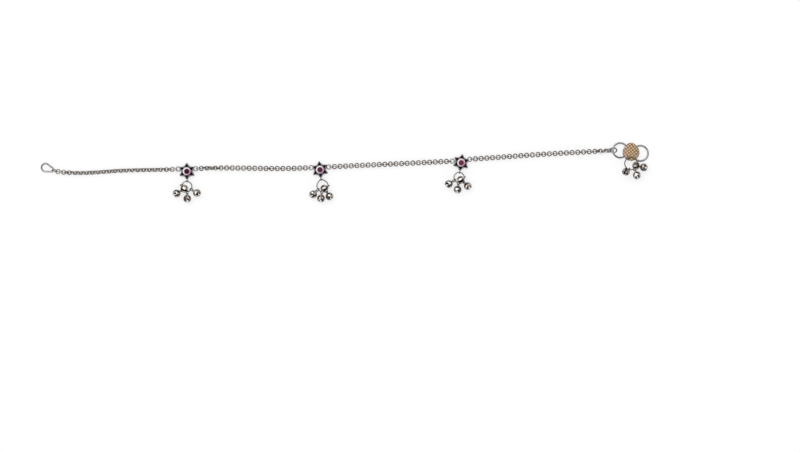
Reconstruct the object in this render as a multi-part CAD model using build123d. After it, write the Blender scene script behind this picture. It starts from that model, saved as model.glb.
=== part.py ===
from build123d import *
import os
from collections import namedtuple
from math import acos, asin, cos, degrees, radians, sin, sqrt

# A payal: a light silver ankle chain laid open and nearly straight on a surface.
# X runs along the chain from the end ring to the clasp, Y away from the bells, Z up.
# Millimetres and degrees. The floor is Z = 0. Sizes are of the finished silver.

CLEAR = 0.11            # the least gap between two pieces that hang in each other

# Belcher chain: round links, each turned a quarter turn from the one before it
LINK_R = 0.93           # centre line radius of a link
LINK_WIRE = 0.23        # wire radius of a link
LINK_PITCH = 1.235      # wanted distance between two link centres

# Bells, the rings that they hang on, and the hand-bent hoop of each cluster
BELL_R = 1.72
BELL_WALL = 0.28
BELL_SLOT = 0.60        # width of the sound slot
BELL_HOLE_R = 0.60      # round hole at each end of the slot
BELL_SLOT_Z = 0.45 * BELL_R   # where the holes are, from the centre to the pole
BELL_SLOT_FOLLOW = 0.3  # share of its ring's turn that a bell's slot follows
EYE_R = 0.50            # centre line radius of the eye soldered to a bell
EYE_WIRE = 0.16
EYE_RISE = 0.25         # from the bell's skin to the centre of its eye
RING_R = 0.82           # small ring between hoop and bell
RING_WIRE = 0.17
HOOP_WIRE = 0.24
HOOP_TIP_R = 0.95       # centre line radius of the hoop's narrow end

# Flower charm: a rosette base, a six-pointed star of cells on it, a tube setting
PETALS = 6
BASE_TOP = 1.10
STAR_TOP = 1.80
CELL_FLOOR = 1.25
PETAL_TIP = 3.75        # outside of the star, from its centre
PETAL_HALF = 1.30       # half the width of a petal where it starts
PETAL_START = 1.20
CELL_TIP = 3.36
CELL_HALF = 1.05
CELL_START = 1.20
BASE_TIP = 3.80
BASE_HALF = 1.45
BASE_DISC_R = 2.75
SETTING_R = 1.75
SETTING_BORE_R = 1.17
SETTING_TOP = 2.35
SEAT_Z = 1.35
SIDE_LUG_OUT = 3.90     # centre of a side lug, along the chain from the flower's centre
SIDE_LUG_UP = 1.10      # and across it
SOLDER_OUT = 2.85       # the solder between the base and a side lug
SOLDER_R = 0.42
SOLDER_TOP = 1.16
HOOP_LUG_OUT = 4.10     # centre of the lug that carries the hoop
HOOP_LUG_R = 0.65
HOOP_LUG_WIRE = 0.20
ENAMEL_GAP = 0.03
ENAMEL_SINK = 0.06      # enamel stops this far below the cell's rim
ENAMEL_EDGE = 0.08

# Round stone with a table, eight main facets, eight star facets and a pointed back
STONE_R = 1.12
STONE_GIRDLE_Z = 2.08
STONE_GIRDLE = 0.10
STONE_CROWN = 0.36
STONE_BACK = 0.60
STONE_FACETS = 8
Cut = namedtuple("Cut", "height slope first")   # height on the axis, slope from level

# S-hook of round wire under an egg-shaped plate
HOOK_WIRE = 0.38
HOOK_LEFT = (-5.00, 1.00, 3.20)     # x, y and radius of the loop on the chain's side
HOOK_RIGHT = (3.90, -0.30, 3.35)    # and of the free one
HOOK_LEFT_TIP = -40                 # where the wire ends, as an angle on its loop
HOOK_RIGHT_TIP = 140
HOOK_TILT = 2.7                     # the chain's side is lifted by the ring under it
PLATE_X, PLATE_Y = -0.30, 0.05      # centre of its round end
PLATE_ROUND_R = 3.70
PLATE_TIP_R = 2.60
PLATE_DROP = 1.65                   # from the centre of the round end to that of the narrow one
PLATE_THICK = 0.35
PLATE_EDGE = 0.08
PLATE_GAP = 0.02
PLATE_LUG = (-1.60, -2.10)
PLATE_LUG_R = 0.72
PLATE_LUG_WIRE = 0.24

# Ring between the chain and the S-hook, and the eye at the chain's other end
CLASP_RING_R = 1.50
CLASP_RING_WIRE = 0.28
CLASP_RING_TURN = 45
CLASP_RING_AIM = 4      # from the chain's end to the hook's wire, seen from above
CLASP_RING_WIRE_AT = 180     # where on the hook's loop its wire runs through the ring
CLASP_CLIMB = 8         # the chain climbs to the ring in the last eighth of its run
END_ROUND_R = 1.75
END_TIP_R = 0.85
END_DROP = 3.05         # from the centre of the round part to that of the tip
END_WIRE = 0.34
END_AIM = -19           # the eye points this far down the page, seen from above
END_TIP_Z = 1.17        # its tip is held up by the ring in it
END_LINK_R = 1.15       # the ring between the eye and the chain
END_LINK_WIRE = 0.22
END_LINK_AIM = -14
END_LINK_LEAN = 20

# Where things lie: centre of each charm, how its petals are turned, the chain's course
Flower = namedtuple("Flower", "x y petal_turn chain_turn")
FLOWERS = (
    Flower(-69.1, 0.5, 1, 1),
    Flower(-10.9, 1.2, 6, 2),
    Flower(50.8, 4.3, -9, 6),
)
END_RING_AT = (-131.0, 2.2)
HOOK_AT = (125.3, 8.7)

Bend = namedtuple("Bend", "x y")
BENDS = (
    (Bend(-116, -0.2), Bend(-98, 0.8), Bend(-82, 1.2)),
    (Bend(-53, 2.0), Bend(-36, 1.8)),
    (Bend(11, 3.3), Bend(29, 4.1)),
    (Bend(72, 7.0), Bend(90, 8.2), Bend(105, 9.0)),
)
Twist = namedtuple("Twist", "share angle")
TWISTS = (
    (Twist(0, 0), Twist(0.15, 45), Twist(0.85, 40), Twist(1, 0)),
    (Twist(0, 0), Twist(0.25, 90), Twist(1, 90)),
    (Twist(0, 0), Twist(1, 0)),
    (Twist(0, 0), Twist(0.85, 0), Twist(1, -45)),
)

# Each bell: where its ring sits on the hoop's round end, which way it lies as seen
# from above (0 is straight down the page), its centre's height and its ring's turn
Hang = namedtuple("Hang", "hoop_angle heading height turn")
Cluster = namedtuple("Cluster", "swing drop round_r sag bells")
CLUSTERS = (
    Cluster(-3, 1.50, 2.25, 0, (
        Hang(-49, -58, BELL_R, 35), Hang(7, 2, BELL_R, -40),
        Hang(61, 58, BELL_R, 35), Hang(-102, 40, 3.45, 20))),
    Cluster(13, 2.00, 2.45, 0, (
        Hang(-63, -46, BELL_R, 35), Hang(-21, -6, BELL_R, -40),
        Hang(22, 32, BELL_R, 40), Hang(75, -55, 3.5, 20))),
    Cluster(-6, 1.40, 2.25, 0, (
        Hang(-52, -58, BELL_R, 35), Hang(0, -8, BELL_R, -40),
        Hang(50, 46, BELL_R, 40), Hang(96, -55, 3.5, 20))),
    Cluster(25, 1.98, 2.75, 6, (
        Hang(-41, -57, 3.87, 0), Hang(8, 20, BELL_R, -35),
        Hang(46, 75, BELL_R, 35), Hang(79, -21, 4.1, 10))),
)


def ring(centre, normal, radius, wire):
    """A round ring of round wire."""
    return Plane(origin=centre, z_dir=normal) * Torus(radius, wire)


def wire_along(path, wire):
    """Round wire bent along a path of lines and arcs."""
    start = Plane(origin=path @ 0, z_dir=path % 0)
    return sweep(start * Circle(wire), path=path)


def drop_outline(round_r, tip_r, drop):
    """A drop's outline: round end at the origin, narrow end towards +Y."""
    lean = acos((round_r - tip_r) / drop)
    out_x, out_y = sin(lean), cos(lean)
    right_low = (round_r * out_x, round_r * out_y)
    right_high = (tip_r * out_x, drop + tip_r * out_y)
    left_low = (-right_low[0], right_low[1])
    left_high = (-right_high[0], right_high[1])
    return Wire([
        Line(right_low, right_high),
        ThreePointArc(right_high, (0, drop + tip_r), left_high),
        Line(left_high, left_low),
        ThreePointArc(left_low, (0, -round_r), right_low),
    ])


def shifted(point, angle, along, across):
    """A point moved along and across a direction in the floor's plane."""
    return (point[0] + along * cos(radians(angle)) - across * sin(radians(angle)),
            point[1] + along * sin(radians(angle)) + across * cos(radians(angle)))


# ---- chain ----

def axis_height(twist):
    """Height of the chain's axis when its links rest on the floor."""
    return LINK_WIRE + LINK_R * max(abs(cos(radians(twist))), abs(sin(radians(twist))))


def twist_at(twists, share):
    """Twist of the chain at a share of its length, between the rows of its table."""
    for low, high in zip(twists, twists[1:]):
        if share <= high.share:
            part = (share - low.share) / (high.share - low.share)
            return low.angle + part * (high.angle - low.angle)
    return twists[-1].angle


def chain(start, bends, end, twists, first, last, lift):
    """Links from station first to station last of a course from start to end."""
    course = Spline([start] + [(bend.x, bend.y) for bend in bends] + [end])
    steps = round(course.length / LINK_PITCH)
    print("chain steps", steps, "pitch", round(course.length / steps, 4))
    links = []
    for step in range(first, steps - last + 1):
        share = step / steps
        place, run = course @ share, course % share
        twist = twist_at(twists, share)
        roll = radians(twist + 90 * step)
        height = axis_height(twist) + lift(share)
        across = Vector(-run.Y, run.X, 0)
        normal = across * -sin(roll) + Vector(0, 0, 1) * cos(roll)
        links.append(ring((place.X, place.Y, height), normal, LINK_R, LINK_WIRE))
    return Compound(children=links)


# ---- flower charm ----

def petal(start, half, tip, bulge=0.10):
    """One pointed petal along +X, with slightly full sides."""
    return make_face(Wire([
        Line((start, -half), (start, half)),
        SagittaArc((start, half), (tip, 0), bulge),
        SagittaArc((tip, 0), (start, -half), bulge),
    ]))


def petals_round(shape, turn):
    """A petal's shape repeated round the flower, the last one pointing down the page."""
    return [Rot(0, 0, turn - 90 + 360 / PETALS * k) * shape for k in range(PETALS)]


def flower_body(flower):
    """Base, star of cells, tube setting and the three soldered lugs as one solid."""
    body = Pos(0, 0, BASE_TOP / 2) * Cylinder(BASE_DISC_R, BASE_TOP)
    low_petal = extrude(petal(PETAL_START, BASE_HALF, BASE_TIP, 0.25), BASE_TOP)
    high_petal = extrude(petal(PETAL_START, PETAL_HALF, PETAL_TIP), STAR_TOP)
    for turned in petals_round(low_petal, flower.petal_turn):
        body += turned
    for turned in petals_round(high_petal, flower.petal_turn):
        body += turned
    body += Cylinder(SETTING_R, SETTING_TOP, align=(Align.CENTER, Align.CENTER, Align.MIN))
    for side in (-1, 1):
        lug = shifted((0, 0), flower.chain_turn, side * SIDE_LUG_OUT, SIDE_LUG_UP)
        body += ring((*lug, axis_height(0)), (0, 0, 1), LINK_R, LINK_WIRE)
        reach = SOLDER_OUT / Vector(*lug).length
        body += Pos(lug[0] * reach, lug[1] * reach, SOLDER_TOP / 2) * Cylinder(SOLDER_R, SOLDER_TOP)
    hoop_lug = shifted((0, 0), flower.petal_turn - 90, HOOP_LUG_OUT, 0)
    across = (cos(radians(flower.petal_turn)), sin(radians(flower.petal_turn)), 0)
    body += ring((*hoop_lug, axis_height(0)), across, HOOP_LUG_R, HOOP_LUG_WIRE)
    cell = Pos(0, 0, CELL_FLOOR) * extrude(petal(CELL_START, CELL_HALF, CELL_TIP), STAR_TOP)
    setting = Cylinder(SETTING_R, 2 * SETTING_TOP)
    for turned in petals_round(cell, flower.petal_turn):
        body -= turned - setting
    body -= Pos(0, 0, SEAT_Z) * Cylinder(
        SETTING_BORE_R, SETTING_TOP, align=(Align.CENTER, Align.CENTER, Align.MIN))
    return body


def flower_enamel(flower):
    """The six fillings of the star's cells."""
    height = STAR_TOP - ENAMEL_SINK - CELL_FLOOR - ENAMEL_GAP
    outline = petal(CELL_START, CELL_HALF - ENAMEL_GAP, CELL_TIP - 2 * ENAMEL_GAP)
    filling = Pos(0, 0, CELL_FLOOR + ENAMEL_GAP) * extrude(outline, height)
    filling -= Cylinder(SETTING_R + ENAMEL_GAP, 2 * SETTING_TOP)
    filling = chamfer(filling.faces().sort_by(Axis.Z)[-1].edges(), ENAMEL_EDGE)
    return Compound(children=petals_round(filling, flower.petal_turn))


def stone():
    """A round cut stone, its girdle's middle at Z = 0."""
    gem = Cylinder(STONE_R, 2 * (STONE_CROWN + STONE_BACK))
    half = STONE_GIRDLE / 2
    cuts = (
        Cut(half + 0.62 * STONE_CROWN + 0.34, 38, 0),
        Cut(half + STONE_CROWN + 0.17, 24, 180 / STONE_FACETS),
        Cut(-half - STONE_BACK, 180 - 33, 0),
    )
    for cut in cuts:
        for k in range(STONE_FACETS):
            facet = (Pos(0, 0, cut.height) * Rot(0, 0, cut.first + 360 / STONE_FACETS * k)
                     * Rot(0, cut.slope, 0))
            gem = split(gem, bisect_by=Plane(facet), keep=Keep.BOTTOM)
    table = Plane((0, 0, half + STONE_CROWN))
    return split(gem, bisect_by=table, keep=Keep.BOTTOM)


# ---- bell clusters ----

def bell(slot_turn):
    """A hollow slotted bell, centre at the origin, its eye towards -Z."""
    shell = Sphere(BELL_R) - Sphere(BELL_R - BELL_WALL)
    turn = Rot(0, 0, slot_turn)
    slot = turn * Pos(0, 0, BELL_SLOT_Z + BELL_R / 2) * Box(3 * BELL_R, BELL_SLOT, BELL_R)
    holes = turn * Pos(0, 0, BELL_SLOT_Z) * Rot(0, 90, 0) * Cylinder(BELL_HOLE_R, 3 * BELL_R)
    eye = ring((0, 0, -BELL_R - EYE_RISE), (1, 0, 0), EYE_R, EYE_WIRE)
    return shell - slot - holes + (eye - Sphere(BELL_R - BELL_WALL))


def hoop_plane(top, swing, sag):
    """Plane of a hoop: its origin at the hoop's top, -Y towards its round end."""
    side = Vector(cos(radians(swing)), sin(radians(swing)), 0)
    down = Vector(sin(radians(swing)) * cos(radians(sag)),
                  -cos(radians(swing)) * cos(radians(sag)), -sin(radians(sag)))
    return Plane(origin=top, x_dir=side, z_dir=down.cross(side))


def hang(plane, cluster, row):
    """Centres and directions of one bell, its eye and its ring on the hoop."""
    angle = radians(row.hoop_angle)
    round_y = -(HOOP_TIP_R + cluster.drop)
    seat = plane.from_local_coords(Vector(
        cluster.round_r * sin(angle), round_y - cluster.round_r * cos(angle), 0))
    run = plane.x_dir * cos(angle) + plane.y_dir * sin(angle)
    ring_to_eye = RING_R + EYE_R - RING_WIRE - EYE_WIRE - CLEAR
    eye_to_bell = EYE_RISE + BELL_R
    seat_to_ring = RING_R - RING_WIRE - HOOP_WIRE - CLEAR
    for _ in range(6):             # the ring's offset depends on the slope, and back
        rise = (row.height - seat.Z) / (seat_to_ring + ring_to_eye + eye_to_bell)
        level = sqrt(1 - rise * rise)
        aim = Vector(level * sin(radians(row.heading)), -level * cos(radians(row.heading)), rise)
        skew = aim.cross(run).length
        seat_to_ring = RING_R - (RING_WIRE + HOOP_WIRE + 1.3 * CLEAR) / skew
    ring_normal = (run - aim * run.dot(aim)).normalized().rotate(
        Axis((0, 0, 0), aim), row.turn)
    ring_at = seat + aim * seat_to_ring
    bell_at = ring_at + aim * (ring_to_eye + eye_to_bell)
    return ring_at, ring_normal, bell_at, aim


def hang_cluster(nodes, name, top, cluster):
    """Adds a hoop with its rings and bells to the nodes."""
    plane = hoop_plane(top, cluster.swing, cluster.sag)
    loop = wire_along(drop_outline(cluster.round_r, HOOP_TIP_R, cluster.drop), HOOP_WIRE)
    nodes[f"hoop_{name}"] = plane * Pos(0, -(HOOP_TIP_R + cluster.drop), 0) * loop
    for number, row in enumerate(cluster.bells, 1):
        ring_at, ring_normal, bell_at, aim = hang(plane, cluster, row)
        nodes[f"bell_ring_{name}_{number}"] = ring(ring_at, ring_normal, RING_R, RING_WIRE)
        stand = Plane(origin=bell_at, x_dir=aim.cross(ring_normal), z_dir=aim)
        nodes[f"bell_{name}_{number}"] = stand * bell((BELL_SLOT_FOLLOW - 1) * row.turn)


# ---- clasp and end ring ----

def hook_place():
    """Place of the S-hook: its free loop on the floor, its other side a little up."""
    reach = HOOK_RIGHT[0] + HOOK_RIGHT[2]
    return Pos(*HOOK_AT, HOOK_WIRE + reach * sin(radians(HOOK_TILT))) * Rot(0, HOOK_TILT, 0)


def on_loop(loop, angle):
    """A point of a hook loop's centre line."""
    x, y, radius = loop
    return Vector(x + radius * cos(radians(angle)), y + radius * sin(radians(angle)), 0)


def s_hook():
    """Two loops joined by the straight that touches both from inside, as in an S."""
    across = Vector(HOOK_RIGHT[0] - HOOK_LEFT[0], HOOK_RIGHT[1] - HOOK_LEFT[1])
    lean = degrees(acos((HOOK_LEFT[2] + HOOK_RIGHT[2]) / across.length))
    leave = lean - across.get_angle(Vector(1, 0))
    left_middle = (HOOK_LEFT_TIP + leave - 360) / 2
    right_middle = (leave + 180 + HOOK_RIGHT_TIP + 360) / 2
    path = Wire([
        ThreePointArc(on_loop(HOOK_LEFT, HOOK_LEFT_TIP), on_loop(HOOK_LEFT, left_middle),
                      on_loop(HOOK_LEFT, leave)),
        Line(on_loop(HOOK_LEFT, leave), on_loop(HOOK_RIGHT, leave + 180)),
        ThreePointArc(on_loop(HOOK_RIGHT, leave + 180), on_loop(HOOK_RIGHT, right_middle),
                      on_loop(HOOK_RIGHT, HOOK_RIGHT_TIP)),
    ])
    return hook_place() * wire_along(path, HOOK_WIRE)


def plate_top():
    """Height of the plate's top, in the hook's own frame."""
    return HOOK_WIRE + PLATE_GAP + PLATE_THICK


def hook_plate():
    """The egg-shaped plate that lies on the hook."""
    outline = make_face(drop_outline(PLATE_ROUND_R, PLATE_TIP_R, PLATE_DROP))
    plate = Pos(PLATE_X, PLATE_Y, HOOK_WIRE + PLATE_GAP) * extrude(outline, PLATE_THICK)
    return hook_place() * chamfer(plate.faces().sort_by(Axis.Z)[-1].edges(), PLATE_EDGE)


def plate_lug_centre():
    """Centre of the lug on the plate, in the hook's own frame."""
    return Vector(*PLATE_LUG, plate_top() + PLATE_LUG_R - PLATE_LUG_WIRE)


def plate_lug():
    """The ring that stands on the plate, its foot cut flat, and carries the clasp's bells."""
    swing = radians(CLUSTERS[-1].swing)
    lug = ring(plate_lug_centre(), (cos(swing), sin(swing), 0), PLATE_LUG_R, PLATE_LUG_WIRE)
    lug = split(lug, bisect_by=Plane((0, 0, plate_top() + PLATE_GAP)), keep=Keep.TOP)
    return hook_place() * lug


def clasp_ring_frame():
    """Centre and normal of the ring that holds the S-hook's wire."""
    height = CLASP_RING_R * cos(radians(CLASP_RING_TURN)) + CLASP_RING_WIRE
    wire_at = (hook_place() * Pos(*on_loop(HOOK_LEFT, CLASP_RING_WIRE_AT))).position
    room = HOOK_WIRE + 2 * LINK_WIRE + CLASP_RING_WIRE + 2 * CLEAR
    centre = shifted((wire_at.X, wire_at.Y), CLASP_RING_AIM, CLASP_RING_R - room, 0)
    upright = Vector(-sin(radians(CLASP_RING_AIM)), cos(radians(CLASP_RING_AIM)), 0)
    normal = upright * cos(radians(CLASP_RING_TURN)) + Vector(0, 0, sin(radians(CLASP_RING_TURN)))
    return Vector(*centre, height), normal


def last_link_at():
    """Centre of the link that hangs in the clasp ring."""
    centre, _ = clasp_ring_frame()
    back = CLASP_RING_R - CLASP_RING_WIRE - LINK_WIRE - CLEAR + LINK_R
    return Vector(*shifted((centre.X, centre.Y), CLASP_RING_AIM, -back, 0), centre.Z)


def end_ring_frame():
    """Plane of the end ring, its origin at the round part's centre, +Y to the tip."""
    climb = asin((END_TIP_Z - END_WIRE) / (END_ROUND_R + END_DROP + END_TIP_R))
    height = END_WIRE + END_ROUND_R * sin(climb)
    aim = Vector(cos(radians(END_AIM)) * cos(climb), sin(radians(END_AIM)) * cos(climb), sin(climb))
    side = Vector(sin(radians(END_AIM)), -cos(radians(END_AIM)), 0)
    return Plane(origin=(*END_RING_AT, height), x_dir=side, z_dir=side.cross(aim))


def end_link_frame():
    """Centre and normal of the ring that hangs in the end ring's tip."""
    reach = END_DROP + END_TIP_R - END_WIRE - END_LINK_WIRE - CLEAR + END_LINK_R
    centre = end_ring_frame().from_local_coords(Vector(0, reach, 0))
    height = END_LINK_WIRE + END_LINK_R * cos(radians(END_LINK_LEAN))
    upright = Vector(-sin(radians(END_LINK_AIM)), cos(radians(END_LINK_AIM)), 0)
    normal = upright * cos(radians(END_LINK_LEAN)) + Vector(0, 0, sin(radians(END_LINK_LEAN)))
    return Vector(centre.X, centre.Y, height), normal


def first_link_at():
    """Centre of the chain's first link, which lies flat in that ring."""
    centre, _ = end_link_frame()
    reach = END_LINK_R + LINK_R - END_LINK_WIRE - LINK_WIRE - CLEAR
    return Vector(*shifted((centre.X, centre.Y), END_LINK_AIM, reach, 0))


# ---- assembly ----

def lug_at(flower, side):
    """Centre of a side lug in the floor's plane."""
    return shifted((flower.x, flower.y), flower.chain_turn, side * SIDE_LUG_OUT, SIDE_LUG_UP)


def build():
    """All nodes by name."""
    nodes = {}
    end_frame = end_ring_frame()
    end_outline = drop_outline(END_ROUND_R, END_TIP_R, END_DROP)
    nodes["end_ring"] = end_frame * wire_along(end_outline, END_WIRE)

    centre, normal = end_link_frame()
    nodes["end_link"] = ring(centre, normal, END_LINK_R, END_LINK_WIRE)

    first, last = first_link_at(), last_link_at()
    starts = [(first.X, first.Y)] + [lug_at(flower, 1) for flower in FLOWERS]
    ends = [lug_at(flower, -1) for flower in FLOWERS] + [(last.X, last.Y)]
    lifts = [
        lambda share: 0,
        lambda share: 0,
        lambda share: 0,
        lambda share: (last.Z - axis_height(45)) * max(0, CLASP_CLIMB * (share - 1) + 1),
    ]
    for number in range(4):
        nodes[f"chain_{number + 1}"] = chain(
            starts[number], BENDS[number], ends[number], TWISTS[number],
            0 if number == 0 else 1, 0 if number == 3 else 1, lifts[number])

    one_stone = stone()
    for number, flower in enumerate(FLOWERS, 1):
        place = Pos(flower.x, flower.y, 0)
        nodes[f"flower_{number}"] = place * flower_body(flower)
        nodes[f"enamel_{number}"] = place * flower_enamel(flower)
        nodes[f"stone_{number}"] = place * Pos(0, 0, STONE_GIRDLE_Z) * one_stone
        slack = HOOP_LUG_R - HOOP_LUG_WIRE - HOOP_WIRE - CLEAR
        top = shifted((flower.x, flower.y), flower.petal_turn - 90, HOOP_LUG_OUT + slack, 0)
        hang_cluster(nodes, number, (*top, axis_height(0)), CLUSTERS[number - 1])

    nodes["s_hook"] = s_hook()
    nodes["hook_plate"] = hook_plate()
    nodes["plate_lug"] = plate_lug()
    centre, normal = clasp_ring_frame()
    nodes["clasp_ring"] = ring(centre, normal, CLASP_RING_R, CLASP_RING_WIRE)
    top = (hook_place() * Pos(*plate_lug_centre())).position
    hang_cluster(nodes, "clasp", top, CLUSTERS[-1])
    return nodes


def centred(nodes):
    """The nodes moved so that the origin is the middle of the whole on the floor."""
    box = Compound(children=[Compound(shape.solids()) for shape in nodes.values()]).bounding_box()
    print("box", box.min, box.max)
    shift = Pos(-box.center().X, -box.center().Y, -box.min.Z)
    return {name: shift * shape for name, shape in nodes.items()}


os.makedirs("parts", exist_ok=True)
for name, shape in centred(build()).items():
    export_step(shape, f"parts/{name}.step")
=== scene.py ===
import logging
import math
from dataclasses import dataclass, field, replace
from enum import Enum
from functools import reduce
from typing import NamedTuple

import bmesh
import bpy
from mathutils import Matrix, Vector


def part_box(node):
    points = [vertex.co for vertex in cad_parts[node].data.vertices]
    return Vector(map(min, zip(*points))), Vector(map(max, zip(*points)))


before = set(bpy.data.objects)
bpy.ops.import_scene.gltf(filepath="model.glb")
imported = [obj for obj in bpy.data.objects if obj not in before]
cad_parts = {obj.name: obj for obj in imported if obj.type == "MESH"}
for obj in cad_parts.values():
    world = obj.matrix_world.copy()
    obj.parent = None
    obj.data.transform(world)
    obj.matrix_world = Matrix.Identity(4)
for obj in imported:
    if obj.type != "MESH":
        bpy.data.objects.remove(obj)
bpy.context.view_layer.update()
LOG = logging.getLogger("payal")
MM = 0.001

Colour = tuple[float, float, float]
WHITE: Colour = (1.0, 1.0, 1.0)
NOISE_LOW, NOISE_HIGH = 0.3, 0.7    # most of a noise's values lie between these
NOISE_MIDDLE = 0.5
WAVE_PERIOD = 0.314                 # of a Wave Texture's bands at a scale of 1


class Ray(Enum):
    """Kinds of ray that the Light Path node tells apart."""

    CAMERA = "Is Camera Ray"
    GLOSSY = "Is Glossy Ray"
    TRANSMISSION = "Is Transmission Ray"


class Value:
    """A number or vector socket that takes part in Python expressions."""

    def __init__(self, graph: "Graph", socket: bpy.types.NodeSocket) -> None:
        """Keeps the graph and the socket.

        Args:
            graph: the graph that new Math nodes go into.
            socket: the output socket that this stands for.
        """
        self.graph = graph
        self.socket = socket

    def __add__(self, other: "Value | float") -> "Value":
        """self + other."""
        return self.graph.math("ADD", self, other)

    def __radd__(self, other: float) -> "Value":
        """other + self."""
        return self.graph.math("ADD", other, self)

    def __sub__(self, other: "Value | float") -> "Value":
        """self - other."""
        return self.graph.math("SUBTRACT", self, other)

    def __rsub__(self, other: float) -> "Value":
        """other - self."""
        return self.graph.math("SUBTRACT", other, self)

    def __mul__(self, other: "Value | float") -> "Value":
        """self * other."""
        return self.graph.math("MULTIPLY", self, other)

    def __rmul__(self, other: float) -> "Value":
        """other * self."""
        return self.graph.math("MULTIPLY", other, self)

    def __truediv__(self, other: "Value | float") -> "Value":
        """self / other."""
        return self.graph.math("DIVIDE", self, other)

    def __pow__(self, other: float) -> "Value":
        """self to the power of other."""
        return self.graph.math("POWER", self, other)

    def high(self, other: "Value | float") -> "Value":
        """The larger of the two."""
        return self.graph.math("MAXIMUM", self, other)

    def low(self, other: "Value | float") -> "Value":
        """The smaller of the two."""
        return self.graph.math("MINIMUM", self, other)


class Graph:
    """The nodes of one material or of the world."""

    def __init__(self, tree: bpy.types.NodeTree) -> None:
        """Empties the tree.

        Args:
            tree: the node tree to build in.
        """
        self.tree = tree
        tree.nodes.clear()

    def node(self, kind: str, settings: dict | None = None,
             inputs: dict | None = None) -> bpy.types.Node:
        """Adds a node, sets it up and feeds its sockets.

        Args:
            kind: the node's type.
            settings: its properties.
            inputs: numbers, colours, Values or sockets by socket name or number.

        Returns:
            The node.
        """
        node = self.tree.nodes.new(kind)
        for name, setting in (settings or {}).items():
            setattr(node, name, setting)
        for key, given in (inputs or {}).items():
            socket = node.inputs[key]
            if isinstance(given, Value):
                self.tree.links.new(given.socket, socket)
            elif isinstance(given, bpy.types.NodeSocket):
                self.tree.links.new(given, socket)
            elif socket.type == "RGBA" and len(given) == 3:
                socket.default_value = (*given, 1.0)
            else:
                socket.default_value = given
        return node

    def value(self, kind: str, output: int | str = 0, settings: dict | None = None,
              inputs: dict | None = None) -> Value:
        """Adds a node and returns one of its outputs as a Value.

        Args:
            kind: the node's type.
            output: which output is wanted.
            settings: as for node.
            inputs: as for node.

        Returns:
            The output.
        """
        return Value(self, self.node(kind, settings, inputs).outputs[output])

    def math(self, operation: str, *operands: Value | float) -> Value:
        """Adds one Math node.

        Args:
            operation: the node's operation.
            operands: its operands, in order.

        Returns:
            The node's output.
        """
        return self.value("ShaderNodeMath", 0, {"operation": operation},
                          dict(enumerate(operands)))

    def parts(self, vector: Value | bpy.types.NodeSocket) -> tuple[Value, ...]:
        """The X, Y and Z of a vector."""
        node = self.node("ShaderNodeSeparateXYZ", None, {0: vector})
        return tuple(Value(self, output) for output in node.outputs)

    def place(self, centre: Vector | None = None, turn: float = 0.0) -> Value:
        """Object coordinates, moved so that centre is their origin, then turned about Z.

        Args:
            centre: the point that becomes the origin, in metres.
            turn: the turn about Z in radians.

        Returns:
            The coordinates.
        """
        coords = self.value("ShaderNodeTexCoord", "Object")
        if centre is not None:
            coords = self.value("ShaderNodeVectorMath", 0, {"operation": "SUBTRACT"},
                                {0: coords, 1: tuple(centre)})
        return self.value("ShaderNodeMapping", 0, {"vector_type": "POINT"},
                          {"Vector": coords, "Rotation": (0.0, 0.0, turn)})

    def noise(self, size: float, detail: float = 3.0) -> Value:
        """Cloudy noise with features of a given size.

        Args:
            size: the size of the features in metres.
            detail: how many finer layers are added.

        Returns:
            The noise, about 0 to 1.
        """
        return self.value("ShaderNodeTexNoise", "Fac", None, {
            "Vector": self.place(), "Scale": 1.0 / size, "Detail": detail, "Roughness": 0.55})

    def blend(self, share: Value | float, low: Colour | Value, high: Colour | Value) -> Value:
        """Mixes two colours.

        Args:
            share: how much of the second colour shows.
            low: the first colour.
            high: the second colour.

        Returns:
            The mixed colour.
        """
        return self.value("ShaderNodeMix", 2, {"data_type": "RGBA"}, {0: share, 6: low, 7: high})

    def between(self, value: Value, low: float, high: float, to_low: float = 0.0,
                to_high: float = 1.0) -> Value:
        """Maps a range onto another and clips it there.

        Args:
            value: what is mapped.
            low: the value that gives to_low.
            high: the value that gives to_high.
            to_low: the result at low.
            to_high: the result at high.

        Returns:
            The mapped value.
        """
        return self.value("ShaderNodeMapRange", 0, {"clamp": True},
                          {0: value, 1: low, 2: high, 3: to_low, 4: to_high})

    def spread(self, noise: Value, base: float, more: float) -> Value:
        """A number that a noise raises from base by up to more.

        Args:
            noise: the noise.
            base: the least number.
            more: what the noise adds at most.

        Returns:
            The number.
        """
        return self.between(noise, NOISE_LOW, NOISE_HIGH, base, base + more)

    def upward(self) -> Value:
        """How far the surface faces up or down: 1 where it is level, 0 where it is upright."""
        normal = self.node("ShaderNodeNewGeometry").outputs["Normal"]
        return self.math("ABSOLUTE", self.parts(normal)[2])

    def ao_openness(self, reach: float) -> Value:
        """How open a spot is to its surroundings: 0 deep in a recess, 1 out in the open.

        Args:
            reach: how near another surface must be to count, in metres.

        Returns:
            The openness.
        """
        return self.value("ShaderNodeAmbientOcclusion", "AO", {"samples": 8}, {"Distance": reach})

    def seen(self) -> Value:
        """1 for rays from the camera, a mirror or glass, and 0 for the rays that light things."""
        path = self.node("ShaderNodeLightPath")
        return reduce(Value.high, [Value(self, path.outputs[ray.value]) for ray in Ray])

    def surface(self, inputs: dict, bump: Value | None = None, depth: float = 0.0) -> None:
        """Ends the graph with a Principled shader.

        Args:
            inputs: the shader's sockets.
            bump: a height between 0 and 1, or None for a smooth surface.
            depth: what a height of 1 stands for, in metres.
        """
        if bump is not None:
            inputs["Normal"] = self.value("ShaderNodeBump", 0, None,
                                          {"Height": bump, "Distance": depth, "Strength": 1.0})
        shader = self.node("ShaderNodeBsdfPrincipled", None, inputs)
        self.node("ShaderNodeOutputMaterial", None, {"Surface": shader.outputs[0]})


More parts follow.
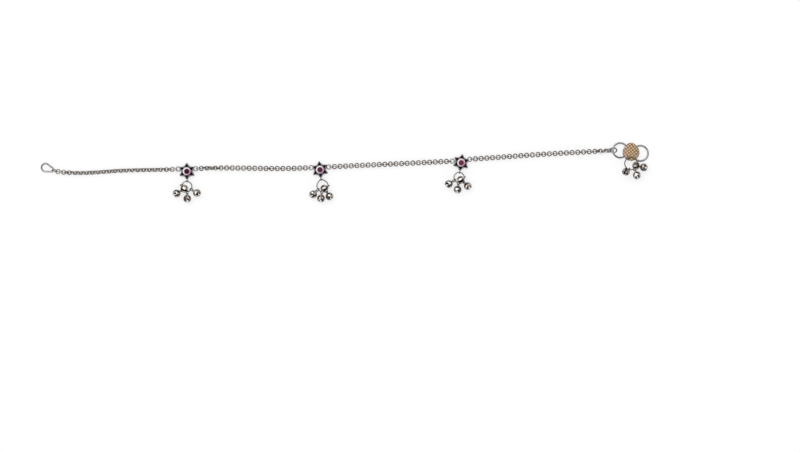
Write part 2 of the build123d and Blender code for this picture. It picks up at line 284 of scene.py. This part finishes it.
def new_material(name: str) -> tuple[bpy.types.Material, Graph]:
    """A new material with an empty graph.

    Args:
        name: the material's name.

    Returns:
        The material and its graph.
    """
    material = bpy.data.materials.new(name)
    material.use_nodes = True
    return material, Graph(material.node_tree)


def from_axis(x: Value, y: Value) -> Value:
    """How far a spot is from the axis that x and y are measured from."""
    return (x * x + y * y) ** 0.5


@dataclass(frozen=True)
class SilverFinish:
    """Silver softly toned at random, with painted shade: its upright sides and its recesses are
    darkened in its colour.

    With low given, whatever lies under the height low_from has that colour, and between
    low_from and low_to it gives way to the colour of the tops.
    """

    name: str
    bright: Colour
    toned: Colour
    # painted shade: the side colour is painted on upright sides, side_metallic is their
    # metalness, and side_from and side_to set where it gives way to the tops
    side: Colour = (0.06, 0.055, 0.05)
    side_from: float = 0.35
    side_to: float = 0.97
    side_metallic: float = 0.5
    low: Colour | None = None
    low_from: float = 1.25 * MM
    low_to: float = 2.0 * MM
    # painted shade: the recess colour is painted where ambient occlusion finds other surfaces
    # within recess_reach
    recess: Colour = (0.012, 0.010, 0.009)
    recess_reach: float = 0.8 * MM
    recess_from: float = 0.25
    recess_to: float = 0.80
    tone_size: float = 6.0 * MM
    tone_from: float = 0.45
    tone_to: float = 0.75
    roughness: float = 0.22
    roughness_spread: float = 0.14
    wear_size: float = 0.5 * MM
    wear_detail: float = 4.0
    # how far the wear noise wanders the edge of the painted side shade
    side_shade_wander: float = 0.1
    bump_depth: float = 0.02 * MM

    def top_colour(self, graph: Graph) -> Value:
        """The colour of the level tops, before the painted shade of sides and recesses.

        Args:
            graph: the material's graph.

        Returns:
            The colour.
        """
        patches = graph.between(graph.noise(self.tone_size), self.tone_from, self.tone_to)
        return graph.blend(patches, self.bright, self.toned)

    def material(self) -> bpy.types.Material:
        """Builds the material.

        Returns:
            The material.
        """
        material, graph = new_material(self.name)
        wear_and_shade_noise = graph.noise(self.wear_size, self.wear_detail)
        # painted shade: level tops keep the top colour, and upright sides get the dark side
        # colour
        unshaded_top_share = graph.between(graph.upward() + wear_and_shade_noise * self.side_shade_wander,
                               self.side_from, self.side_to)
        # painted shade in recesses, from ambient occlusion
        unoccluded = graph.between(graph.ao_openness(self.recess_reach),
                            self.recess_from, self.recess_to)
        colour = self.top_colour(graph)
        if self.low is not None:
            # colour by height alone: the low colour under low_from, giving way to the top colour
            # by low_to
            height = graph.parts(graph.place())[2]
            above_low = graph.between(height, self.low_from, self.low_to)
            colour = graph.blend(above_low, self.low, colour)
        colour = graph.blend(unshaded_top_share, self.side, colour)
        colour = graph.blend(unoccluded, self.recess, colour)
        roughness = graph.spread(wear_and_shade_noise, self.roughness, self.roughness_spread)
        metallic = unshaded_top_share * (1.0 - self.side_metallic) + self.side_metallic
        graph.surface({"Base Color": colour, "Metallic": metallic, "Roughness": roughness},
                      wear_and_shade_noise, self.bump_depth)
        return material


@dataclass(frozen=True)
class CharmFinish(SilverFinish):
    """A charm's silver, with the stone's pink light painted on its tube setting as a painted
    reflection, and painted shade towards the setting's lower right.
    """

    centre: Vector = field(default_factory=Vector)
    # painted reflection of the stone on the setting, and its painted shade towards the lower
    # right
    setting: Colour = (0.88, 0.74, 0.81)
    setting_shade: Colour = (0.36, 0.19, 0.27)
    setting_radius: float = 1.78 * MM
    setting_edge: tuple[float, float] = (0.98, 1.04)
    shade_range: tuple[float, float] = (-0.4, 1.9)
    shade_cloud: float = 0.8 * MM

    def top_colour(self, graph: Graph) -> Value:
        """The colour of the tops, with the stone's pink light painted on the setting and painted
        shade towards its lower right.

        Args:
            graph: the material's graph.

        Returns:
            The colour.
        """
        x, y, _ = graph.parts(graph.place(self.centre))
        lower_right = (x - y) / self.setting_radius + graph.noise(self.shade_cloud)
        setting = graph.blend(graph.between(lower_right, *self.shade_range),
                              self.setting, self.setting_shade)
        outside = graph.between(from_axis(x, y) / self.setting_radius, *self.setting_edge)
        return graph.blend(outside, setting, super().top_colour(graph))


@dataclass(frozen=True)
class EnamelFinish:
    """Fired black enamel: very dark, glossy, with a faint swell and tiny pits."""

    name: str = "black_enamel"
    body: Colour = (0.002, 0.002, 0.004)
    hint: Colour = (0.006, 0.007, 0.020)
    cloud_size: float = 0.8 * MM
    pit_size: float = 0.25 * MM
    pit_detail: float = 2.0
    noise_range: tuple[float, float] = (0.4, 0.7)
    roughness_range: tuple[float, float] = (0.16, 0.32)
    ior: float = 1.50
    specular: float = 0.03
    bump_depth: float = 0.02 * MM

    def material(self) -> bpy.types.Material:
        """Builds the material.

        Returns:
            The material.
        """
        material, graph = new_material(self.name)
        clouds = graph.noise(self.cloud_size)
        pits = graph.noise(self.pit_size, self.pit_detail)
        colour = graph.blend(graph.between(clouds, *self.noise_range), self.body, self.hint)
        roughness = graph.between(pits, *self.noise_range, *self.roughness_range)
        graph.surface({"Base Color": colour, "Roughness": roughness, "IOR": self.ior,
                       "Specular IOR Level": self.specular}, clouds, self.bump_depth)
        return material


@dataclass(frozen=True)
class StoneFinish:
    """Cut glass stone: deep colour with painted highlights, lighter flashes that follow the
    facets, painted into its colour.
    """

    name: str
    deep: Colour
    flash: Colour
    centre: Vector
    radius: float = 1.1 * MM
    flashes: int = 8
    cell_size: float = 0.55 * MM
    ray_share: float = 0.35
    cell_share: float = 0.9
    rim_share: float = 0.3
    flash_range: tuple[float, float] = (0.35, 1.25)
    roughness: float = 0.05
    ior: float = 1.62
    specular: float = 0.22
    bump_depth: float = 0.01 * MM

    def material(self) -> bpy.types.Material:
        """Builds the material.

        Returns:
            The material.
        """
        material, graph = new_material(self.name)
        place = graph.place(self.centre)
        x, y, _ = graph.parts(place)
        rays = graph.math("SINE", graph.math("ARCTAN2", y, x) * self.flashes)
        cells = graph.value("ShaderNodeTexVoronoi", "Distance", {"feature": "F1"},
                            {"Vector": place, "Scale": 1.0 / self.cell_size})
        # painted highlights: flashes by angle round the middle, by facet cell and towards the rim
        light = (rays * self.ray_share + cells * self.cell_share
                 + from_axis(x, y) / self.radius * self.rim_share)
        colour = graph.blend(graph.between(light, *self.flash_range), self.deep, self.flash)
        graph.surface({"Base Color": colour, "Roughness": self.roughness, "IOR": self.ior,
                       "Specular IOR Level": self.specular}, cells, self.bump_depth)
        return material


@dataclass(frozen=True)
class CopperPlateFinish:
    """Copper-toned plate: crossed fine hatching, darker in its grooves, with painted highlights
    on the ridges between them, warmer on one side, silver at its flanks.
    """

    name: str
    low: Vector
    high: Vector
    warm: Colour = (0.76, 0.47, 0.29)
    olive: Colour = (0.46, 0.37, 0.19)
    groove: Colour = (0.18, 0.10, 0.055)
    # painted highlights along the ridges between the hatch grooves
    ridge_highlight: Colour = (0.98, 0.82, 0.62)
    rim: Colour = (0.36, 0.29, 0.29)
    groove_share: float = 0.7
    ridge_share: float = 0.6
    rim_share: float = 0.8
    groove_range: tuple[float, float] = (0.10, 0.45)
    ridge_range: tuple[float, float] = (0.55, 0.85)
    rim_range: tuple[float, float] = (0.78, 0.88)
    flank_range: tuple[float, float] = (0.25, 0.55)
    side_range: tuple[float, float] = (-0.7, 0.8)
    side_cloud: float = 1.6 * MM
    hatch_pitch: float = 1.08 * MM
    hatch_turns: tuple[float, float] = (math.radians(52.0), math.radians(-38.0))
    hatch_wander: float = 0.6
    wear_size: float = 0.4 * MM
    roughness: float = 0.30
    roughness_spread: float = 0.18
    bump_depth: float = 0.06 * MM

    def _hatch(self, graph: Graph, centre: Vector) -> Value:
        """The lower of two crossed sets of waves: 0 in a groove, 1 between grooves.

        Args:
            graph: the material's graph.
            centre: the plate's middle.

        Returns:
            The hatching.
        """
        first, second = (
            graph.value("ShaderNodeTexWave", "Fac", {"wave_type": "BANDS"}, {
                "Vector": graph.place(centre, turn), "Scale": WAVE_PERIOD / self.hatch_pitch,
                "Distortion": self.hatch_wander, "Detail": 1.0})
            for turn in self.hatch_turns)
        return first.low(second)

    def material(self) -> bpy.types.Material:
        """Builds the material.

        Returns:
            The material.
        """
        material, graph = new_material(self.name)
        centre = (self.low + self.high) / 2
        half = (self.high - self.low) / 2
        x, y, _ = graph.parts(graph.place(centre))
        across, along = x / half.x, y / half.y
        hatch = self._hatch(graph, centre)
        grooves = graph.between(hatch, *self.groove_range)
        ridges = graph.between(hatch, *self.ridge_range)
        flank = graph.between(across * across, *self.flank_range)
        rim = graph.between(from_axis(across, along), *self.rim_range) * flank
        cloud = graph.noise(self.side_cloud) - NOISE_MIDDLE
        side = graph.between(across + cloud, *self.side_range)
        colour = graph.blend(side, self.warm, self.olive)
        colour = graph.blend((1.0 - grooves) * self.groove_share, colour, self.groove)
        # painted highlights on the ridges between the grooves
        colour = graph.blend(ridges * self.ridge_share, colour, self.ridge_highlight)
        colour = graph.blend(rim * self.rim_share, colour, self.rim)
        roughness = graph.spread(graph.noise(self.wear_size), self.roughness,
                                 self.roughness_spread)
        graph.surface({"Base Color": colour, "Metallic": 1.0, "Roughness": roughness},
                      grooves, self.bump_depth)
        return material


@dataclass
class Studio:
    """Pale floor, white surroundings, dark flags that only reflections show, light and camera."""

    view_centre: Vector = field(default_factory=lambda: Vector((24.14 * MM, -23.45 * MM, 0.0)))
    view_width: float = 350.0 * MM
    camera_height: float = 1.25
    camera_clip: tuple[float, float] = (0.01, 50.0)
    sensor_width: float = 36.0
    floor_side: float = 8.0
    floor_colour: Colour = (0.95, 0.95, 0.95)
    floor_shade: float = 0.985
    floor_grain: float = 3.0 * MM
    floor_white: float = 0.72
    fill_strength: float = 0.93
    key_power: float = 4.0
    key_size: float = 0.8
    key_place: Vector = field(default_factory=lambda: Vector((-0.45, 0.55, 0.95)))
    flag_radius: float = 0.9
    flag_low: float = 0.03
    flag_colour: Colour = (0.02, 0.02, 0.02)
    flag_wear: float = 2.0
    flag_weave: float = 20.0 * MM
    flag_steps: int = 72
    band_high: float = 0.40
    curtain_high: float = 1.60
    curtain_middle: float = math.radians(-72.0)
    curtain_spread: float = math.radians(130.0)

    def build(self) -> None:
        """Builds everything round the object."""
        self._camera()
        self._floor()
        self._flag("flag_band", 0.0, math.tau, self.band_high)
        self._flag("flag_curtain", self.curtain_middle, self.curtain_spread, self.curtain_high)
        self._key()
        self._world()
        bpy.context.scene.view_settings.view_transform = "Standard"

    def _camera(self) -> None:
        """Sets the camera straight above the middle of the view."""
        data = bpy.data.cameras.new("camera")
        data.sensor_width = self.sensor_width
        data.lens = self.sensor_width * self.camera_height / self.view_width
        data.clip_start, data.clip_end = self.camera_clip
        camera = bpy.data.objects.new("camera", data)
        camera.location = self.view_centre + Vector((0.0, 0.0, self.camera_height))
        bpy.context.scene.collection.objects.link(camera)
        bpy.context.scene.camera = camera

    def _floor(self) -> None:
        """Lays the pale floor: lit paper, with plain white mixed in where it is seen."""
        bpy.ops.mesh.primitive_plane_add(size=self.floor_side)
        floor = bpy.context.object
        floor.name = "floor"
        material, graph = new_material("floor_paper")
        shade = tuple(part * self.floor_shade for part in self.floor_colour)
        colour = graph.blend(graph.spread(graph.noise(self.floor_grain), 0.0, 1.0),
                             self.floor_colour, shade)
        paper = graph.node("ShaderNodeBsdfDiffuse", None, {"Color": colour})
        white = graph.node("ShaderNodeEmission", None, {"Color": WHITE, "Strength": 1.0})
        mixed = graph.node("ShaderNodeMixShader", None, {
            0: graph.seen() * self.floor_white, 1: paper.outputs[0], 2: white.outputs[0]})
        graph.node("ShaderNodeOutputMaterial", None, {"Surface": mixed.outputs[0]})
        floor.data.materials.append(material)

    def _flag(self, name: str, middle: float, spread: float, high: float) -> None:
        """Stands a dark upright cloth round part of the set, seen only in reflections.

        Args:
            name: the cloth's name.
            middle: the direction of its middle, seen from above, in radians.
            spread: the angle that it takes up.
            high: the height of its upper edge.
        """
        bm = bmesh.new()
        ends = [bm.verts.new((self.flag_radius, 0.0, z)) for z in (self.flag_low, high)]
        edge = bm.edges.new(ends)
        bmesh.ops.spin(bm, geom=[*ends, edge], cent=(0.0, 0.0, 0.0), axis=(0.0, 0.0, 1.0),
                       angle=spread, steps=self.flag_steps, use_merge=spread >= math.tau)
        bmesh.ops.rotate(bm, verts=bm.verts, cent=(0.0, 0.0, 0.0),
                         matrix=Matrix.Rotation(middle - spread / 2, 3, "Z"))
        mesh = bpy.data.meshes.new(name)
        bm.to_mesh(mesh)
        bm.free()
        flag = bpy.data.objects.new(name, mesh)
        bpy.context.scene.collection.objects.link(flag)
        flag.visible_camera = False
        flag.visible_diffuse = False
        flag.visible_shadow = False
        flag.visible_transmission = False
        material, graph = new_material(f"{name}_cloth")
        worn = tuple(part * self.flag_wear for part in self.flag_colour)
        colour = graph.blend(graph.noise(self.flag_weave), self.flag_colour, worn)
        graph.surface({"Base Color": colour, "Roughness": 1.0, "Specular IOR Level": 0.0})
        mesh.materials.append(material)

    def _key(self) -> None:
        """Hangs the large soft key light."""
        data = bpy.data.lights.new("key", "AREA")
        data.shape = "SQUARE"
        data.size = self.key_size
        data.energy = self.key_power
        key = bpy.data.objects.new("key", data)
        key.location = self.key_place
        key.rotation_euler = (-self.key_place).to_track_quat("-Z", "Y").to_euler()
        bpy.context.scene.collection.objects.link(key)

    def _world(self) -> None:
        """Makes the surroundings white where they are seen, and a plain fill elsewhere."""
        world = bpy.data.worlds.new("surroundings")
        bpy.context.scene.world = world
        world.use_nodes = True
        graph = Graph(world.node_tree)
        strength = self.fill_strength + graph.seen() * (1.0 - self.fill_strength)
        background = graph.node("ShaderNodeBackground", None,
                                {"Color": WHITE, "Strength": strength})
        graph.node("ShaderNodeOutputWorld", None, {"Surface": background.outputs[0]})


def dress(names: list[str], material: bpy.types.Material) -> None:
    """Gives CAD nodes a material.

    Args:
        names: the nodes.
        material: what they are dressed in.
    """
    for name in names:
        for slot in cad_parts[name].material_slots:
            slot.material = material


def nodes_with(prefix: str) -> list[str]:
    """The names of the CAD nodes that start with prefix, in order."""
    return sorted(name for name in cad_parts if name.startswith(prefix))


def corners(name: str) -> tuple[Vector, Vector]:
    """The lower and the upper corner of a CAD node's box."""
    low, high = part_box(name)
    return Vector(low), Vector(high)


def middle(name: str) -> Vector:
    """The middle of a CAD node's box."""
    low, high = corners(name)
    return (low + high) / 2


@dataclass
class ChainRuns:
    """The four runs of round links and the small ring at their left end.

    Most links of the first run lean, so more of their sides shows, and its silver, with its
    painted side shade, is less dark there.
    """

    silver: SilverFinish = SilverFinish(
        "chain_silver", (0.83, 0.78, 0.74), (0.21, 0.15, 0.115), side=(0.05, 0.041, 0.034),
        low=(0.125, 0.098, 0.080), tone_size=1.5 * MM, tone_from=0.42, tone_to=0.58)
    leaning: SilverFinish = SilverFinish(
        "leaning_chain_silver", (0.86, 0.83, 0.79), (0.30, 0.235, 0.19),
        side=(0.11, 0.095, 0.08), low=(0.30, 0.255, 0.215), tone_size=1.5 * MM,
        tone_from=0.46, tone_to=0.62)

    def dress(self) -> list[str]:
        """Dresses the runs.

        Returns:
            The names of the nodes.
        """
        first, *others = nodes_with("chain_")
        others.append("end_link")
        dress([first], self.leaning.material())
        dress(others, self.silver.material())
        return [first, *others]


class StoneLook(NamedTuple):
    """The colours of one charm's stone."""

    node: str
    deep: Colour
    flash: Colour


@dataclass
class FlowerCharms:
    """The three charms: silver body, black enamel and a stone of its own colour each."""

    silver: CharmFinish = CharmFinish(
        "flower_silver", (0.27, 0.26, 0.27), (0.10, 0.095, 0.10), side=(0.05, 0.048, 0.05),
        low=(0.66, 0.65, 0.65), low_from=1.0 * MM, low_to=1.5 * MM, tone_size=1.5 * MM,
        tone_from=0.5, tone_to=0.7, roughness=0.18)
    enamel: EnamelFinish = EnamelFinish()
    stones: tuple[StoneLook, ...] = (
        StoneLook("stone_1", deep=(0.010, 0.002, 0.007), flash=(0.10, 0.022, 0.062)),
        StoneLook("stone_2", deep=(0.030, 0.004, 0.020), flash=(0.23, 0.050, 0.150)),
        StoneLook("stone_3", deep=(0.070, 0.005, 0.022), flash=(0.42, 0.055, 0.150)),
    )

    def dress(self) -> list[str]:
        """Dresses the charms.

        Returns:
            The names of the nodes.
        """
        bodies, enamels = nodes_with("flower_"), nodes_with("enamel_")
        for name in bodies:
            charm = replace(self.silver, name=f"{name}_silver",
                            centre=middle(name.replace("flower", "stone")))
            dress([name], charm.material())
        dress(enamels, self.enamel.material())
        for look in self.stones:
            glass = StoneFinish(f"{look.node}_glass", look.deep, look.flash, middle(look.node))
            dress([look.node], glass.material())
        return bodies + enamels + [look.node for look in self.stones]


@dataclass
class BellClusters:
    """The hoops, the small rings and the bells of the four clusters."""

    bell: SilverFinish = SilverFinish(
        "bell_silver", (0.90, 0.85, 0.80), (0.14, 0.098, 0.074), side=(0.055, 0.043, 0.034),
        side_from=0.25, side_to=0.85, side_metallic=0.7, tone_size=1.5 * MM, tone_from=0.45,
        tone_to=0.54, roughness=0.12)
    wire: SilverFinish = SilverFinish(
        "hoop_silver", (0.30, 0.29, 0.28), (0.12, 0.115, 0.11), side=(0.04, 0.038, 0.036),
        tone_size=2.0 * MM, roughness=0.20)

    def dress(self) -> list[str]:
        """Dresses the clusters.

        Returns:
            The names of the nodes.
        """
        rings = nodes_with("bell_ring_") + nodes_with("hoop_")
        bells = [name for name in nodes_with("bell_") if name not in rings]
        dress(rings, self.wire.material())
        dress(bells, self.bell.material())
        return rings + bells


@dataclass
class Clasp:
    """The S-hook with its copper plate, the ring on it, and the eye at the other end."""

    silver: SilverFinish = SilverFinish(
        "hook_silver", (0.44, 0.44, 0.44), (0.18, 0.18, 0.18), side=(0.04, 0.04, 0.042),
        tone_size=3.5 * MM, tone_to=0.65)

    def dress(self) -> list[str]:
        """Dresses the clasp.

        Returns:
            The names of the nodes.
        """
        wires = ["s_hook", "clasp_ring", "end_ring", "plate_lug"]
        dress(wires, self.silver.material())
        plate = CopperPlateFinish("plate_copper", *corners("hook_plate"))
        dress(["hook_plate"], plate.material())
        return wires + ["hook_plate"]


def main() -> None:
    """Builds the studio, then dresses each sub-assembly in turn."""
    logging.basicConfig(level=logging.INFO, format="%(name)s: %(message)s")
    Studio().build()
    for assembly in (ChainRuns(), FlowerCharms(), BellClusters(), Clasp()):
        names = assembly.dress()
        LOG.info("%s: %s", type(assembly).__name__, ", ".join(names))


if __name__ == "__main__":
    main()
